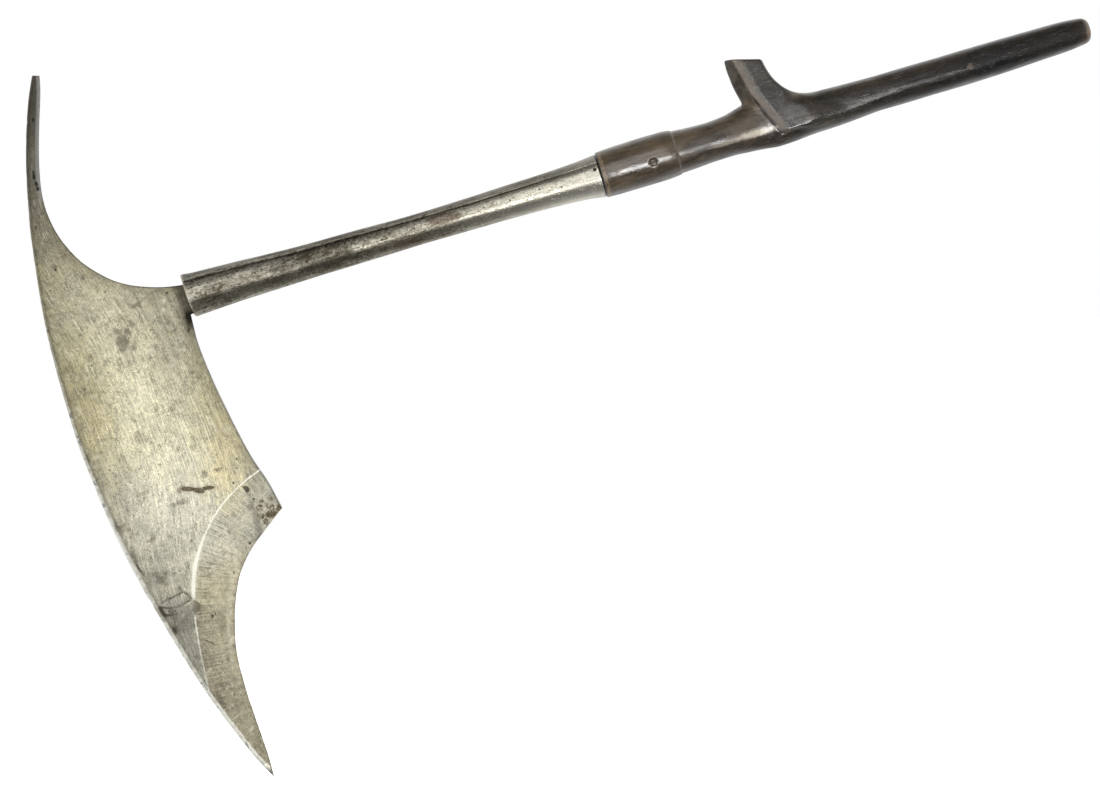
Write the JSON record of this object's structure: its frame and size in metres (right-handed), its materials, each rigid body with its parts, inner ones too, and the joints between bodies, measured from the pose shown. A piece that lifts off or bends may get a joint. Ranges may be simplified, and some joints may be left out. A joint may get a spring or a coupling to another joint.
{
  "type": "socketed hand scythe",
  "caption": "Hand tool with a broad flat crescent blade and upward spike, a rolled iron socket tube and a carved wooden handle with a thumb spur.",
  "frame": {"origin": "on the haft's axis, at the middle of the round part of the grip, where the tool is held", "axes": "+X along the haft and the handle towards the butt, +Z towards the spur and the blade's spike, Y across the blade's thickness"},
  "size_m": [0.8701, 0.0384, 0.5929],
  "materials": {
    "blade_steel": "aged, finely scratched and lightly pitted",
    "tube_iron": "forged iron, worn bright on the crown and dark in the pits",
    "handle_wood": "dark, polished by hand use",
    "core_wood": "dark hardwood",
    "peg_wood": "hardwood end grain",
    "nail_iron": "blackened iron"
  },
  "bodies": {
    "root": {"blade": "blade_steel", "socket_tube": "tube_iron", "handle": "handle_wood", "tenon_core": "core_wood", "collar_peg": "peg_wood", "socket_nail": "nail_iron"}
  },
  "joints": []
}
